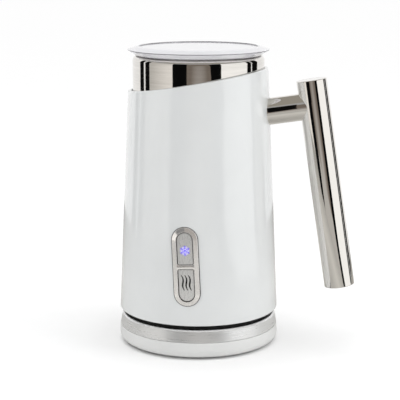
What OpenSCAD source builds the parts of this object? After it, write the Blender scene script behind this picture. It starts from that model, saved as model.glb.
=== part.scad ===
// Milk frother: a cordless jug with a magnetic whisk on a round power base.
// Millimetres, +Z up. The origin is on the jug's axis, on the surface that the base stands on.
// The handle points along +X and the button panel faces -Y.

/* [Overall] */
// Height from the standing surface to the top of the lid
overall_h = 200; // [196:0.5:206]
// Smoothness of round parts
smooth = 96; // [48:8:128]

/* [Base] */
// Largest radius of the white base housing
base_r = 54; // [53.6:0.1:55]
// Height of the joint between the white housing and the steel ring
base_ring_z = 11.6; // [11:0.1:12.4]
// Height of the top edge of the steel ring
base_top_z = 19.7; // [19.4:0.1:19.8]
// Radius of the steel ring at its top edge
ring_top_r = 51.9; // [51.6:0.1:52.2]
// Radius of the round connector post on the base
post_r = 14; // [13:0.1:14.1]
// Inner radius of the cord gland
gland_bore_r = 3.3; // [2.5:0.1:3.4]

/* [Jug shell] */
// Outer radius that the shell's cone would have at the standing surface
shell_foot_r = 54.54; // [54.2:0.01:54.8]
// Slope of the shell's side from the vertical, in degrees
shell_cone = 2.52; // [2.4:0.01:2.6]
// Wall thickness of the shell
shell_wall = 2.4; // [2:0.1:2.5]
// Height of the shell's bottom edge
shell_z = 22.9; // [22.6:0.1:23.2]
// Height on the axis of the slanted cut at the top of the shell
cut_z = 178.5; // [176:0.1:180]
// Slope of the slanted cut, highest on the handle's side
cut_slope = 9.6; // [8:0.1:10]

/* [Cup] */
// Outer radius of the polished collar
collar_r = 43.8; // [43.4:0.1:43.9]
// Outer radius of the cup where it is hidden in the shell
cup_r = 38.6; // [38:0.1:39]
// Thickness of the cup's steel
cup_wall = 0.9; // [0.8:0.1:1.2]
// Height of the cup's floor, on the inside
cup_floor_z = 92; // [91.5:0.1:94]

/* [Lid] */
// Radius of the lid's rim
lid_r = 46.9; // [46:0.1:47.5]
// Radius of the flat top of the lid
lid_flat_r = 38; // [36:0.5:40]

/* [Handle] */
// Radius of the grip tube
tube_r = 10.05; // [9.5:0.05:10.5]
// Lean of the grip tube from the vertical, in degrees
handle_lean = 8.7; // [8:0.1:9.5]
// Length of the grip tube above the middle of the stub
tube_above = 17.2; // [15:0.1:18]
// Length of the grip tube below the middle of the stub
tube_below = 122.4; // [115:0.1:125]
// Radius of the stub between the shell and the tube
stub_r = 8.9; // [8:0.1:9.2]

/* [Button panel] */
// Height of the middle of the panel
panel_z = 62.3; // [60:0.1:64]
// Turn of the panel in its own plane, its top toward -X, in degrees
panel_turn = 3; // [0:0.5:5]
// Length of the bezel
bezel_len = 52.3; // [50:0.1:54]
// Width of the bezel
bezel_w = 17.5; // [17:0.1:18]
// Width of each button
button_w = 10.1; // [9.6:0.1:10.4]
// Gap round each button
button_gap = 0.35; // [0.3:0.05:0.5]

/* [Whisk] */
// Radius of the whisk's hub at its flanges
hub_r = 14.4; // [13:0.1:15]
// Turns in the froth coil
coil_turns = 34; // [20:1:40]

/* [Hidden] */
$fn = smooth;
eps = 0.01;
lift_gap = 0.2;   // gap under a piece that lifts off
fit_gap = 0.05;   // radial gap of a close fit

// Screws of 2.8 mm that hold the base, the jug's bottom and the heater
screw_r = 1.4;
screw_head_r = 2.9;
screw_clear_r = 1.7;
sink_r = 3.2;     // counterbore for a screw's head
sink_t = 1;

// Base, from the standing surface up
foot_h = 1.2;
plate_t = 2;
plate_r = 47;
housing_z = 0.9;
housing_round = 5.1;
housing_wall = 3;
ring_t = 0.8;
deck_z = base_top_z - 0.5;
deck_t = 2;
deck_r = ring_top_r - 1.8;
skirt_r = base_r - housing_wall - 0.4;
skirt_t = 2;
skirt_z = 5.6;
base_boss_at = 36;
base_boss_r = 3.4;
vent_w = 2;
vent_l = 22;
vent_step = 5;
groove_in_r = 25;
groove_out_r = 27;
post_h = 7.8;
post_flange_r = post_r + 4.5;
post_body_r = 11;
post_top_z = deck_z + post_h;
pin_hole_r = 2.7;
slot_in_r = 6.2;
slot_out_r = 8.6;
contact_floor_z = deck_z - 3.5;
gland_z = 6.6;
gland_half_w = 4.6;
gland_under_z = 2.6;
gland_flange = [10.8, 8.6];
gland_corner = 1.5;
gland_flange_y = base_r - 1.2;
gland_in_y = gland_flange_y - 3.4;
gland_out_y = gland_flange_y + 1.6;

// Jug, from the bottom cover up
cover_r = 49.8;
cover_z = deck_z + lift_gap;
cover_t = 2;
cover_wall = 1.8;
cover_top_z = 31;
socket_in_r = post_r + 0.5;
socket_wall = 2.4;
socket_hole_r = socket_in_r + socket_wall;
socket_roof_z = post_top_z + 1.2;
socket_top_z = socket_roof_z + 2.4;
contact_pin_r = 1.9;
contact_ring_r = 8.1;
contact_t = 1.4;
column_at = 38;
column_r = 3.6;
board_post_at = 25;
power_board_z = 36;
power_board_r = 31;
power_hole_r = 9;
board_t = 1.6;

// Chassis, motor and heater
chassis_z = 76;
chassis_t = 2;
chassis_r = 33;
arm_w = 10;
wire_hole_at = 26;
wire_hole_r = 3;
motor_r = 12;
motor_z = 44;
motor_boss_r = 4;
motor_screw_at = 8;
motor_screw_r = 1.2;
motor_cap_r = 5;
shaft_r = 1.5;
shaft_z = 50;
heater_t = 3;
cup_under_z = cup_floor_z - cup_wall;
heater_z = cup_under_z - heater_t;
heater_r = 36;
heater_hole_r = 15.5;
heater_boss_at = 21;
element_at = 30;
element_r = 3;
element_h = 6;
carrier_r = 13.2;
carrier_z = 82;
carrier_hub_r = 5;
carrier_top_z = cup_under_z - 0.7;
magnet_r = 3.5;
magnet_h = 3;
magnet_at = 8.4;
sensor_at = 21.5;
sensor_r = 2.6;
thermostat_r = 4.8;

// Cup and lid
lip_z = overall_h - 5.4;
lip_round = 3;
collar_z = 167.5;
step_z = 163.5;
cup_seal_z = collar_z + 0.4;
cup_seal_h = 2;
collar_in_r = collar_r - cup_wall - 0.3;
cup_corner = 8;
cup_foot_r = cup_r - 1.2;
rim_z = overall_h - 2.2;
lid_seat_r = collar_r + 0.4;
lid_t = 2.6;
plug_r = 41;
plug_in_r = 38.8;
plug_z = overall_h - 11.5;
seal_z = overall_h - 10;
seal_h = 2.6;

// Handle
joint_x = 77.5;
joint_z = overall_h - 38;
tube_wall = 1.05;
cap_t = 3;
bolt_r = 2.5;
bolt_head_r = 4.2;
bolt_head_h = 2.6;
backing_t = 1.2;
backing_r = 6.2;
backing_at = 35;     // distance of the backing plate's inner face from the tube's axis, along the stub

// Button panel, in its own frame: x across, y up the shell, z outward
pocket_z = -1.2;
bezel_z = 1.2;
bezel_round = 1.1;
bezel_in = button_w / 2 + button_gap;
bezel_neck = 7;
bezel_neck_z = -4.2;
bezel_end = bezel_len / 2 - bezel_w / 2;
bar_half = 1.3;
button_top_z = 0.6;
button_bottom_z = -3.2;
button_end = bezel_end;
button_start = bar_half + button_gap;
stem_r = 1.6;
stem_z = -4.4;
froth_stem_y = 16.5;
heat_stem_y = -12;
carrier_ring_z = -9.4;
icon_depth = 0.5;
flake_y = 10.7;
flake_r = 3.4;
steam_y = -10.3;
board_half_w = 7.5;
board_half_l = 29.5;
board_screw_y = 26;
board_screw_r = 1.1;
switch_w = 6;
switch_h = 3.2;
led_w = 3;

// Whisk
pin_r = 1.6;
pin_top_z = cup_floor_z + 20;
pin_flange_h = 0.8;
bush_out_r = 3.2;
bush_z = cup_floor_z + 1.4;
bush_top_z = pin_top_z + 2.4;
hub_z = bush_z;
hub_h = 6.4;
hub_groove_r = 12.4;
hub_sleeve_r = 5;
hub_sleeve_top_z = bush_top_z - 3.2;
coil_wire_r = 0.4;
coil_minor_r = 1.85;
coil_major_r = hub_groove_r + coil_minor_r + coil_wire_r + 0.1;
coil_steps = 8;
coil_sides = 6;
whisk_magnet_h = 2.6;

// Radius of the shell's outer surface at a height
function shell_r(z) = shell_foot_r - z * tan(shell_cone);
// Points along an arc in the plane of a profile
function arc(x, y, r, a0, a1, n) =
    [for (i = [0 : n]) [x + r * cos(a0 + (a1 - a0) * i / n), y + r * sin(a0 + (a1 - a0) * i / n)]];
panel_r = shell_r(panel_z);

// ---------- Shared shapes ----------

// A tube or washer between two heights
module pipe(r_out, r_in, z0, z1) {
    translate([0, 0, z0])
        difference() {
            cylinder(r = r_out, h = z1 - z0);
            translate([0, 0, -1])
                cylinder(r = r_in, h = z1 - z0 + 2);
        }
}

// A solid cylinder between two heights
module rod(r, z0, z1) {
    translate([0, 0, z0])
        cylinder(r = r, h = z1 - z0);
}

// Copies round the axis
module ring_of(n, at, start = 0) {
    for (i = [0 : n - 1])
        rotate([0, 0, start + i * 360 / n])
            translate([at, 0, 0])
                children();
}

// A countersunk or pan head screw pointing up, its head's underside at z = 0
module screw(head_r, head_h, shank_r, shank_l) {
    difference() {
        rod(head_r, -head_h, 0);
        translate([-head_r * 0.65, -0.35, -head_h - eps])
            cube([head_r * 1.3, 0.7, head_h * 0.5]);
        translate([-0.35, -head_r * 0.65, -head_h - eps])
            cube([0.7, head_r * 1.3, head_h * 0.5]);
    }
    rod(shank_r, -eps, shank_l);
}

// A rectangle with round corners, centred
module round_square(size, r) {
    square([size.x - 2 * r, size.y], center = true);
    square([size.x, size.y - 2 * r], center = true);
    for (x = [-1, 1], y = [-1, 1])
        translate([x * (size.x / 2 - r), y * (size.y / 2 - r)])
            circle(r = r);
}

// The panel's frame on the shell's front
module at_panel() {
    translate([0, -panel_r, panel_z])
        rotate([90 - shell_cone, 0, 0])
            rotate([0, 0, panel_turn])
                children();
}

// A plate with round ends: half width, the distance of each end's centre, and two heights
module stadium(half_w, end, z0, z1) {
    translate([0, 0, z0])
        linear_extrude(z1 - z0) {
            translate([-half_w, -end])
                square([2 * half_w, 2 * end]);
            translate([0, end])
                circle(r = half_w);
            translate([0, -end])
                circle(r = half_w);
        }
}

// The tube's frame: origin where the stub's axis meets it, z up along the tube
module at_tube() {
    translate([joint_x, 0, joint_z])
        rotate([0, -handle_lean, 0])
            children();
}

// The stub's frame: the same origin, z inward along the stub to the jug
module at_stub() {
    at_tube()
        rotate([0, -90, 0])
            children();
}

// The shell's outer cone as a solid
module shell_solid(shrink = 0) {
    translate([0, 0, shell_z])
        cylinder(
            r1 = shell_r(shell_z) - shrink,
            r2 = shell_r(overall_h) - shrink,
            h = overall_h - shell_z
        );
}

// ---------- Base ----------

module base_housing() {
    color("white")
        difference() {
            rotate_extrude()
                polygon(concat(
                    [[plate_r + 0.2, housing_z]],
                    arc(base_r - housing_round, housing_z + housing_round, housing_round, -90, 0, 8),
                    [[base_r - 0.5, base_ring_z], [base_r - housing_wall, base_ring_z]],
                    [[base_r - housing_wall, foot_h + plate_t + 2], [plate_r + 0.2, foot_h + plate_t]]
                ));
            // notch that the gland slides into from above, and the seat of its flange
            translate([-gland_half_w, gland_in_y - 4, gland_under_z])
                cube([2 * gland_half_w, 12, 12]);
            gland_plate(fit_gap, gland_flange_y, gland_out_y + 4);
        }
}

// The gland's flange, grown by a gap, between two distances from the axis
module gland_plate(gap, y0, y1) {
    translate([0, y1, gland_z])
        rotate([90, 0, 0])
            linear_extrude(y1 - y0)
                round_square([gland_flange.x + 2 * gap, gland_flange.y + 2 * gap], gland_corner);
}

module base_steel_ring() {
    color("silver")
        rotate_extrude()
            polygon(concat(
                [[base_r - 0.65, base_ring_z]],
                arc(ring_top_r - 0.9, base_top_z - 0.9, 0.9, 5, 90, 6),
                [[deck_r + fit_gap, base_top_z], [deck_r + fit_gap, base_top_z - ring_t]],
                [[ring_top_r - ring_t - 0.3, base_top_z - ring_t]],
                [[base_r - 0.65 - ring_t, base_ring_z]]
            ));
}

module base_deck() {
    lip_under = base_top_z - ring_t;
    color([0.07, 0.07, 0.08])
        difference() {
            union() {
                rotate_extrude()
                    polygon([
                        [post_r + fit_gap, deck_z - deck_t],
                        [skirt_r - skirt_t, deck_z - deck_t],
                        [skirt_r - skirt_t, skirt_z],
                        [skirt_r, skirt_z],
                        [skirt_r, base_ring_z + 4],
                        [ring_top_r - 1.2, lip_under - 2],
                        [ring_top_r - 1.2, lip_under],
                        [deck_r, lip_under],
                        [deck_r, deck_z],
                        [post_r + fit_gap, deck_z]
                    ]);
                ring_of(3, base_boss_at, 30)
                    rod(base_boss_r, foot_h + plate_t, deck_z - deck_t + eps);
            }
            ring_of(3, base_boss_at, 30)
                rod(screw_r, foot_h + plate_t - 1, deck_z - deck_t - 2);
            // drip groove, so that spilt milk stays off the connector
            pipe(groove_out_r, groove_in_r, deck_z - 0.6, deck_z + 1);
            // notch in the skirt round the gland
            translate([-gland_half_w - 0.3, gland_in_y - 4, skirt_z - 1])
                cube([2 * gland_half_w + 0.6, 8, base_ring_z + 1 - skirt_z]);
        }
}

module base_bottom_plate() {
    color([0.1, 0.1, 0.1])
        difference() {
            rod(plate_r, foot_h, foot_h + plate_t);
            ring_of(3, base_boss_at, 30)
                rod(screw_clear_r, 0, 10);
            ring_of(3, base_boss_at, 30)
                rod(sink_r, 0, foot_h + sink_t);
            // vents
            for (i = [-3 : 3])
                translate([i * vent_step - vent_w / 2, -vent_l / 2, 0])
                    cube([vent_w, vent_l, 6]);
        }
}

module base_foot_ring() {
    color([0.2, 0.2, 0.2])
        pipe(plate_r - 0.6, base_boss_at + 5, 0, foot_h);
}

module base_screws() {
    color("gray")
        ring_of(3, base_boss_at, 30)
            translate([0, 0, foot_h + sink_t])
                screw(screw_head_r, 0.9, screw_r, 8);
}

module base_connector() {
    color([0.12, 0.12, 0.12])
        difference() {
            union() {
                rod(post_r, deck_z - deck_t, post_top_z);
                rod(post_flange_r, deck_z - deck_t - 2, deck_z - deck_t);
                rod(post_body_r, deck_z - deck_t - 8, deck_z - deck_t - 1);
            }
            rod(pin_hole_r, contact_floor_z, post_top_z + 1);
            pipe(slot_out_r, slot_in_r, contact_floor_z + 0.5, post_top_z + 1);
        }
}

module base_contacts() {
    color("goldenrod") {
        rod(pin_hole_r - fit_gap, contact_floor_z, contact_floor_z + 0.8);
        for (s = [-1, 1])
            translate([s * (slot_in_r + slot_out_r) / 2 - 0.8, -2, contact_floor_z + 0.5])
                cube([1.6, 4, 0.8]);
    }
}

module cord_gland() {
    color([0.1, 0.1, 0.1])
        difference() {
            union() {
                gland_plate(0, gland_flange_y, gland_out_y);
                translate([-gland_half_w, gland_in_y, gland_under_z])
                    cube([2 * gland_half_w, gland_flange_y - gland_in_y, base_ring_z - gland_under_z]);
            }
            translate([0, gland_in_y - 1, gland_z])
                rotate([-90, 0, 0])
                    cylinder(r = gland_bore_r, h = gland_out_y - gland_in_y + 2);
        }
}

// ---------- Jug casing ----------

module outer_shell() {
    inner = shell_wall / cos(shell_cone);
    color([0.95, 0.96, 0.96])
        difference() {
            rotate_extrude()
                polygon(concat(
                    [[shell_r(shell_z) - inner + 0.6, shell_z]],
                    arc(shell_r(shell_z + 1.3) - 1.3, shell_z + 1.3, 1.3, -90, 0, 6),
                    [[shell_r(overall_h), overall_h], [shell_r(overall_h) - inner, overall_h]],
                    [[shell_r(shell_z + 0.6) - inner, shell_z + 0.6]]
                ));
            // the slanted cut
            translate([0, 0, cut_z])
                rotate([0, -cut_slope, 0])
                    translate([-100, -100, 0])
                        cube([200, 200, 60]);
            // pocket and hole for the panel
            at_panel()
                stadium(bezel_w / 2 + fit_gap, bezel_end, pocket_z, 6);
            at_panel()
                stadium(bezel_neck + fit_gap, bezel_end, -8, 6);
            // hole for the handle's bolt
            at_stub()
                rod(bolt_r + 0.2, 20, 45);
        }
}

module jug_bottom_cover() {
    color([0.07, 0.07, 0.08])
        difference() {
            union() {
                rod(cover_r, cover_z, cover_z + cover_t);
                pipe(cover_r, cover_r - cover_wall, cover_z, cover_top_z);
                ring_of(3, board_post_at, 0)
                    rod(2.5, cover_z + cover_t - eps, power_board_z);
                ring_of(3, column_at, 90)
                    pipe(column_r + 1.6, column_r + 0.1, cover_z + cover_t - eps, cover_top_z - 2);
            }
            rod(socket_hole_r + fit_gap, 0, 60);
            ring_of(3, column_at, 90)
                rod(screw_clear_r, 0, 60);
            ring_of(3, column_at, 90)
                rod(sink_r, 0, cover_z + sink_t);
        }
}

module jug_bottom_screws() {
    color("gray")
        ring_of(3, column_at, 90)
            translate([0, 0, cover_z + sink_t])
                screw(screw_head_r, 0.9, screw_r, 10);
}

module jug_socket() {
    color([0.12, 0.12, 0.12])
        difference() {
            union() {
                rod(socket_hole_r, cover_z + 0.4, socket_top_z);
                rod(socket_hole_r + 3, cover_z + cover_t, cover_z + cover_t + 1.6);
            }
            rod(socket_in_r, 0, socket_roof_z);
            rod(contact_pin_r, 0, 60);
            pipe(contact_ring_r, contact_ring_r - contact_t, 0, socket_top_z - 1);
        }
}

module socket_contacts() {
    color("goldenrod") {
        rod(contact_pin_r, deck_z + 1.5, socket_top_z + 2);
        pipe(contact_ring_r, contact_ring_r - contact_t, deck_z + 1, socket_top_z - 1);
    }
}

// ---------- Cup ----------

module inner_cup() {
    corner_z = cup_under_z + cup_corner;
    color([0.8, 0.8, 0.82])
        rotate_extrude()
            polygon(concat(
                [[0, cup_under_z]],
                arc(cup_foot_r - cup_corner, corner_z, cup_corner, -90, 0, 6),
                [[cup_r, step_z], [collar_r, collar_z]],
                arc(collar_r - lip_round, lip_z - lip_round, lip_round, 0, 65, 6),
                [[collar_r - 2, lip_z], [collar_in_r, lip_z - 1.4]],
                [[collar_in_r, collar_z + 0.4], [cup_r - cup_wall, step_z + 0.2]],
                arc(cup_foot_r - cup_corner, corner_z, cup_corner - cup_wall, 0, -90, 6),
                [[0, cup_floor_z]]
            ));
}

module cup_seal() {
    seal_top_z = cup_seal_z + cup_seal_h;
    color([0.35, 0.35, 0.36])
        pipe(shell_r(seal_top_z) - shell_wall - fit_gap, collar_r, cup_seal_z, seal_top_z);
}

module pivot_pin() {
    color("silver")
        rotate_extrude()
            polygon(concat(
                [[0, cup_floor_z], [4.5, cup_floor_z], [4.1, cup_floor_z + pin_flange_h]],
                [[pin_r, cup_floor_z + pin_flange_h]],
                arc(0, pin_top_z - pin_r, pin_r, 0, 90, 6)
            ));
}

// ---------- Chassis, heater and motor ----------

module chassis() {
    color([0.85, 0.85, 0.82])
        difference() {
            union() {
                rod(chassis_r, chassis_z, chassis_z + chassis_t);
                for (i = [0 : 2])
                    rotate([0, 0, 90 + i * 120])
                        translate([0, -arm_w / 2, chassis_z])
                            cube([column_at, arm_w, chassis_t]);
                ring_of(3, column_at, 90)
                    rod(column_r, cover_z + cover_t, chassis_z + chassis_t);
            }
            rod(motor_boss_r + fit_gap, 0, 200);
            ring_of(2, motor_screw_at, 0)
                rod(motor_screw_r + 0.2, chassis_z - 1, chassis_z + 5);
            ring_of(3, heater_boss_at, 30)
                rod(screw_clear_r, chassis_z - 1, chassis_z + 5);
            ring_of(3, column_at, 90)
                rod(screw_r, 0, cover_z + 14);
            ring_of(3, wire_hole_at, 90)
                rod(wire_hole_r, chassis_z - 1, chassis_z + 5);
        }
}

module heater_plate() {
    color([0.75, 0.75, 0.75])
        difference() {
            union() {
                rod(heater_r, heater_z, cup_under_z);
                ring_of(3, heater_boss_at, 30)
                    rod(3.2, chassis_z + chassis_t, heater_z + eps);
            }
            rod(heater_hole_r, 0, 200);
            ring_of(3, heater_boss_at, 30)
                rod(screw_r, 0, chassis_z + chassis_t + 7);
            rotate([0, 0, 90])
                translate([sensor_at, 0, 0])
                    rod(sensor_r + 0.4, 0, 200);
        }
}

module heater_element() {
    color([0.45, 0.4, 0.38]) {
        rotate([0, 0, 25])
            rotate_extrude(angle = 310)
                translate([element_at - element_r, heater_z - element_h])
                    square([2 * element_r, element_h]);
        for (a = [25, 335])
            rotate([0, 0, a])
                translate([element_at, (a < 180 ? 2.2 : -2.2), 0])
                    rod(1, heater_z - element_h - 3, heater_z - element_h + eps);
    }
}

module heater_screws() {
    color("gray")
        ring_of(3, heater_boss_at, 30)
            translate([0, 0, chassis_z])
                screw(screw_head_r, 1.8, screw_r, 8);
}

module thermostat() {
    color([0.25, 0.2, 0.18])
        rotate([0, 0, 210])
            translate([sensor_at, 0, 0]) {
                rod(thermostat_r, heater_z - 6, heater_z);
                for (s = [-1, 1])
                    translate([-1.4, s * 3 - 0.4, heater_z - 9.5])
                        cube([2.8, 0.8, 3.5]);
            }
}

module temperature_sensor() {
    color([0.9, 0.85, 0.7])
        rotate([0, 0, 90])
            translate([sensor_at, 0, 0])
                rod(sensor_r, cup_under_z - 9, cup_under_z);
}

module motor() {
    color([0.7, 0.7, 0.72])
        difference() {
            union() {
                rod(motor_r, motor_z, chassis_z);
                rod(motor_boss_r, chassis_z - eps, chassis_z + chassis_t);
                rod(motor_cap_r, motor_z - 2, motor_z + eps);
                for (s = [-1, 1])
                    translate([s * 8 - 0.4, -1.5, motor_z - 3.5])
                        cube([0.8, 3, 4]);
            }
            rod(shaft_r + fit_gap, shaft_z - 1, 100);
            ring_of(2, motor_screw_at, 0)
                rod(motor_screw_r, chassis_z - 6, chassis_z + 1);
        }
}

module motor_screws() {
    color("gray")
        ring_of(2, motor_screw_at, 0)
            translate([0, 0, chassis_z + chassis_t])
                mirror([0, 0, 1])
                    screw(2 * motor_screw_r, 1.5, motor_screw_r, 7);
}

module motor_shaft() {
    color("silver")
        rod(shaft_r, shaft_z, carrier_top_z - 4);
}

module magnet_carrier() {
    color([0.15, 0.15, 0.15])
        difference() {
            union() {
                rod(carrier_r, carrier_z + 2, carrier_top_z);
                rod(carrier_hub_r, carrier_z, carrier_z + 3);
            }
            rod(shaft_r, 0, carrier_top_z - 4);
            ring_of(4, magnet_at)
                rod(magnet_r, carrier_top_z - magnet_h, 200);
        }
}

module drive_magnets() {
    color([0.55, 0.55, 0.58])
        ring_of(4, magnet_at)
            rod(magnet_r, carrier_top_z - magnet_h, carrier_top_z);
}

// ---------- Electronics ----------

module power_board() {
    board_top = power_board_z + board_t;
    color([0.1, 0.4, 0.2])
        difference() {
            rod(power_board_r, power_board_z, board_top);
            rod(power_hole_r, 0, 60);
        }
    // relay, capacitor, terminal block and the triac's heat sink
    color([0.1, 0.1, 0.1])
        translate([15, -8, board_top])
            cube([12, 16, 14]);
    color([0.2, 0.3, 0.6])
        translate([-22, 0, 0])
            rod(5, board_top, board_top + 15);
    color("white")
        translate([-8, 18, board_top])
            cube([16, 7, 9]);
    color("gray")
        translate([-6, -26, board_top])
            cube([12, 3, 12]);
}

module control_board() {
    color([0.1, 0.4, 0.2])
        at_panel()
            difference() {
                translate([-board_half_w, -board_half_l, carrier_ring_z - board_t])
                    cube([2 * board_half_w, 2 * board_half_l, board_t]);
                for (s = [-1, 1])
                    translate([0, s * board_screw_y, 0])
                        rod(board_screw_r + 0.2, -20, 0);
            }
    // the controller and the plug for its wires
    color([0.1, 0.1, 0.1])
        at_panel()
            translate([-4, -5, carrier_ring_z - board_t - 1.6])
                cube([8, 10, 1.6]);
    color("white")
        at_panel()
            translate([-5, 13, carrier_ring_z - board_t - 5])
                cube([10, 5, 5]);
}

module button_switches() {
    color([0.15, 0.15, 0.15])
        at_panel()
            for (y = [froth_stem_y, heat_stem_y])
                translate([0, y, 0]) {
                    translate([-switch_w / 2, -switch_w / 2, carrier_ring_z])
                        cube([switch_w, switch_w, switch_h]);
                    rod(1.7, carrier_ring_z + switch_h - eps, stem_z - 1);
                }
}

module status_led() {
    color([0.7, 0.7, 1])
        at_panel()
            translate([-led_w / 2, flake_y - led_w / 2, carrier_ring_z])
                cube([led_w, led_w, 1.6]);
}

module board_carrier() {
    color([0.12, 0.12, 0.12])
        at_panel()
            difference() {
                union() {
                    stadium(bezel_neck, bezel_end, carrier_ring_z, bezel_neck_z - 0.1);
                    for (s = [-1, 1])
                        translate([0, s * board_screw_y, 0])
                            rod(2.8, carrier_ring_z, bezel_neck_z - 0.1);
                }
                stadium(bezel_in, bezel_end, -20, 0);
                for (s = [-1, 1])
                    translate([0, s * board_screw_y, 0])
                        rod(board_screw_r, -20, bezel_neck_z - 1.2);
            }
}

module board_screws() {
    color("gray")
        at_panel()
            for (s = [-1, 1])
                translate([0, s * board_screw_y, carrier_ring_z - board_t])
                    screw(2 * board_screw_r, 1.4, board_screw_r, 5);
}

// ---------- Button panel ----------

// Section of the bezel's rim: x from the inner edge outward, y outward from the shell
module bezel_section(inner, outer, round_in, round_out) {
    polygon(concat(
        [[inner, pocket_z], [outer, pocket_z]],
        arc(outer - round_out, bezel_z - round_out, round_out, 0, 90, 6),
        arc(inner + round_in, bezel_z - round_in, round_in, 90, 180, 6)
    ));
}

module panel_bezel() {
    color("silver")
        at_panel() {
            for (s = [0, 180])
                rotate([0, 0, s])
                    translate([0, bezel_end, 0])
                        rotate_extrude(angle = 180)
                            bezel_section(bezel_in, bezel_w / 2, 0.5, bezel_round);
            for (s = [0, 180])
                rotate([0, 0, s])
                    translate([0, bezel_end, 0])
                        rotate([90, 0, 0])
                            linear_extrude(2 * bezel_end)
                                bezel_section(bezel_in, bezel_w / 2, 0.5, bezel_round);
            // the bar between the buttons
            translate([-bezel_in - 0.5, 0, 0])
                rotate([90, 0, 90])
                    linear_extrude(2 * bezel_in + 1)
                        bezel_section(-bar_half, bar_half, 0.5, 0.5);
            // the neck that passes through the shell
            difference() {
                stadium(bezel_neck, bezel_end, bezel_neck_z, pocket_z + eps);
                stadium(bezel_in, bezel_end, bezel_neck_z - 1, 3);
            }
            translate([-bezel_in - 0.5, -bar_half, bezel_neck_z])
                cube([2 * bezel_in + 1, 2 * bar_half, pocket_z + eps - bezel_neck_z]);
        }
}

// One button's plan: a flat end at the bar and a round outer end, upward for side 1
module button_plan(side, shrink) {
    w = button_w / 2 - shrink;
    start = button_start + shrink;
    scale([1, side]) {
        translate([-w, start + 1])
            square([2 * w, button_end - start - 1]);
        translate([-w + 1, start])
            square([2 * w - 2, 2]);
        for (s = [-1, 1])
            translate([s * (w - 1), start + 1])
                circle(r = 1);
        translate([0, button_end])
            circle(r = w);
    }
}

module button_body(side, stem_y) {
    difference() {
        union() {
            translate([0, 0, button_bottom_z])
                linear_extrude(button_top_z - 0.3 - button_bottom_z)
                    button_plan(side, 0);
            translate([0, 0, button_top_z - 0.3 - eps])
                linear_extrude(0.3 + eps)
                    button_plan(side, 0.25);
            translate([0, stem_y, 0])
                rod(stem_r, stem_z, button_bottom_z + eps);
        }
        children();
    }
}

// Six arms with a pair of barbs each
module flake(z0, z1) {
    for (i = [0 : 5])
        rotate([0, 0, i * 60]) {
            translate([-0.3, -0.1, z0])
                cube([0.6, flake_r + 0.1, z1 - z0]);
            for (s = [-1, 1])
                translate([0, flake_r * 0.55, z0])
                    rotate([0, 0, s * 50])
                        translate([-0.25, 0, 0])
                            cube([0.5, flake_r * 0.42, z1 - z0]);
        }
}

module froth_button() {
    color([0.78, 0.78, 0.78])
        at_panel()
            button_body(1, froth_stem_y) {
                translate([0, flake_y, 0])
                    flake(button_top_z - icon_depth, 3);
                translate([0, flake_y, 0])
                    rod(2, -5, button_top_z - icon_depth + eps);
            }
}

module froth_icon_lens() {
    color([0.45, 0.4, 1])
        at_panel()
            translate([0, flake_y, 0]) {
                flake(button_top_z - icon_depth, button_top_z);
                rod(2, button_bottom_z, button_top_z - icon_depth + eps);
            }
}

// One wavy stroke from two opposite arcs of a ring
module steam_stroke(z0, z1) {
    bend_r = 3.4;
    half_turn = 46;
    stroke = 0.75;
    step = bend_r * sin(half_turn);
    for (s = [1, -1])
        translate([-s * bend_r * cos(half_turn), s * step, z0])
            rotate([0, 0, (s > 0 ? 0 : 180) - half_turn - 1])
                rotate_extrude(angle = 2 * half_turn + 2)
                    translate([bend_r - stroke / 2, 0])
                        square([stroke, z1 - z0]);
}

module steam(z0, z1) {
    for (i = [-1 : 1])
        translate([i * 2.4, steam_y, 0])
            rotate([0, 0, 8])
                steam_stroke(z0, z1);
}

module heat_button() {
    color([0.78, 0.78, 0.78])
        at_panel()
            button_body(-1, heat_stem_y)
                steam(button_top_z - icon_depth, 3);
}

module heat_icon_inlay() {
    color([0.15, 0.15, 0.16])
        at_panel()
            steam(button_top_z - icon_depth, button_top_z);
}

// ---------- Handle ----------

module handle_stub() {
    color("silver")
        difference() {
            at_stub()
                rod(stub_r, 5, backing_at + 4);
            at_tube()
                rod(tube_r, -tube_below, tube_above);
            shell_solid();
            at_stub()
                rod(bolt_r, 0, 60);
        }
}

module handle_tube() {
    color("silver")
        at_tube()
            difference() {
                rod(tube_r, -tube_below, tube_above);
                rod(tube_r - tube_wall, -tube_below - 1, tube_above + 1);
                rotate([0, -90, 0])
                    rod(bolt_r + 0.1, 2, 15);
            }
}

module handle_top_cap() {
    color("silver")
        at_tube()
            rod(tube_r - tube_wall, tube_above - cap_t, tube_above);
}

module handle_bottom_cap() {
    color("silver")
        at_tube()
            rod(tube_r - tube_wall, -tube_below, -tube_below + cap_t);
}

module handle_insert() {
    color("goldenrod")
        at_tube()
            difference() {
                rod(tube_r - tube_wall, -10, 10);
                rotate([0, -90, 0])
                    rod(bolt_r, -3, 15);
            }
}

module handle_bolt() {
    color("gray")
        at_stub() {
            rod(bolt_r, -2, backing_at + 0.5);
            difference() {
                rod(bolt_head_r, backing_at, backing_at + bolt_head_h);
                translate([0, 0, backing_at + 1])
                    cylinder(r = 1.6, h = 5, $fn = 6);
            }
        }
}

module handle_backing_plate() {
    color("gray")
        at_stub()
            difference() {
                rod(backing_r, backing_at - backing_t, backing_at);
                rod(bolt_r + 0.1, 0, 60);
            }
}

// ---------- Lid ----------

module lid() {
    color([0.93, 0.93, 0.96, 0.6])
        difference() {
            rotate_extrude()
                polygon(concat(
                    [[0, overall_h - lid_t], [0, overall_h], [lid_flat_r, overall_h]],
                    arc(lid_r - 0.5, rim_z - 0.35, 0.5, 70, -50, 6),
                    [[lid_seat_r, lip_z + lift_gap], [plug_r, lip_z + lift_gap]],
                    [[plug_r, plug_z], [plug_in_r, plug_z], [plug_in_r, overall_h - lid_t]]
                ));
            pipe(plug_r + 2, plug_r - 0.8, seal_z, seal_z + seal_h);
        }
}

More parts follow.
